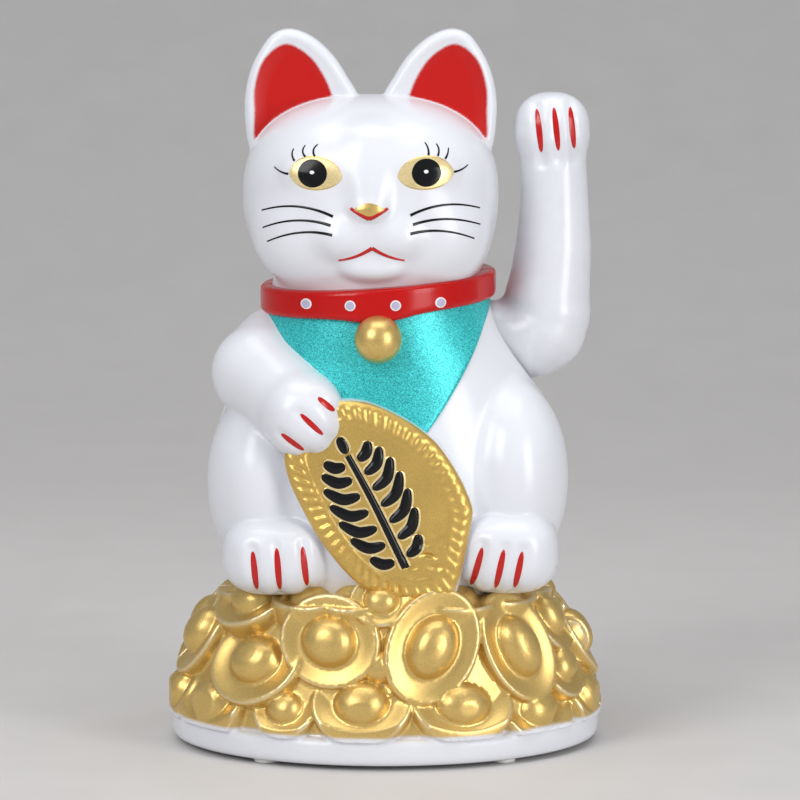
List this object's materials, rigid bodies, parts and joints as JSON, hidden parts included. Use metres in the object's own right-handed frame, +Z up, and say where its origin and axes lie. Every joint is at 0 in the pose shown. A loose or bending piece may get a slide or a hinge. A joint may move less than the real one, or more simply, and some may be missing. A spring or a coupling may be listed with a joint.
{
  "type": "beckoning cat figurine",
  "caption": "Seated beckoning cat on an oval heap of ingots, holding an oval coin, with a swinging raised arm driven by a magnetic pendulum in its hollow body.",
  "frame": {"origin": "on the table, under the middle of the oval base", "axes": "+Z up, the cat faces along -Y, and its raised arm is on the +X side"},
  "size_m": [0.12, 0.0987, 0.1996],
  "materials": {
    "painted_shell": "gloss white with sprayed gold, teal and red",
    "white_plastic": "gloss",
    "foot_rubber": "satin",
    "screw_steel": "satin",
    "weight_steel": "satin",
    "magnet_plate": "polished",
    "grey_plastic": "matte",
    "black_plastic": "matte",
    "copper": "enamelled copper wire",
    "board_laminate": "satin",
    "capacitor_sleeve": "gloss",
    "switch_steel": "satin",
    "cell_jacket": "gloss",
    "contact_nickel": "polished",
    "red_insulation": "satin",
    "black_insulation": "satin"
  },
  "bodies": {
    "housing": {"front_shell": "painted_shell", "rear_shell": "white_plastic", "base_cover": "white_plastic", "foot_front_left": "foot_rubber", "foot_front_right": "foot_rubber", "foot_rear_left": "foot_rubber", "foot_rear_right": "foot_rubber", "cover_screw_1": "screw_steel", "cover_screw_2": "screw_steel", "cover_screw_3": "screw_steel", "cover_screw_4": "screw_steel", "shell_screw_1": "screw_steel", "shell_screw_2": "screw_steel", "shell_screw_3": "screw_steel", "bracket_screw_1": "screw_steel", "bracket_screw_2": "screw_steel", "board_screw_1": "screw_steel", "board_screw_2": "screw_steel", "pivot_bracket": "grey_plastic", "coil_bobbin": "black_plastic", "coil_winding": "copper", "coil_wire_start": "copper", "coil_wire_finish": "copper", "circuit_board": "board_laminate", "driver_chip": "black_plastic", "drive_transistor": "black_plastic", "timing_capacitor": "capacitor_sleeve", "switch_body": "switch_steel", "battery_cell_1": "cell_jacket", "battery_cell_2": "cell_jacket", "contact_spring_1": "contact_nickel", "contact_spring_2": "contact_nickel", "contact_bridge": "contact_nickel", "terminal_positive": "contact_nickel", "terminal_negative": "contact_nickel", "battery_wire_red": "red_insulation", "battery_wire_black": "black_insulation", "switch_wire_black": "black_insulation"},
    "beckoning_arm": {"arm_front_half": "white_plastic", "arm_rear_half": "white_plastic", "pendulum_lever": "grey_plastic", "pivot_pin": "screw_steel", "drive_magnet": "magnet_plate", "counterweight": "weight_steel"},
    "battery_door": {"battery_door": "white_plastic"},
    "power_switch": {"switch_knob": "black_plastic"}
  },
  "joints": [
    {"name": "arm_swing", "type": "hinge", "parent": "housing", "child": "beckoning_arm", "pos_m": [0.017, 0.003, 0.113], "axis": [1, 0, 0], "range_deg": [-14, 14]},
    {"name": "battery_door_hinge", "type": "hinge", "parent": "housing", "child": "battery_door", "pos_m": [-0.0205, 0.0272, 0.0012], "axis": [1, 0, 0], "range_deg": [0, 70]},
    {"name": "power_switch_slide", "type": "slide", "parent": "housing", "child": "power_switch", "axis": [1, 0, 0], "range_m": [0, 0.0033]}
  ]
}
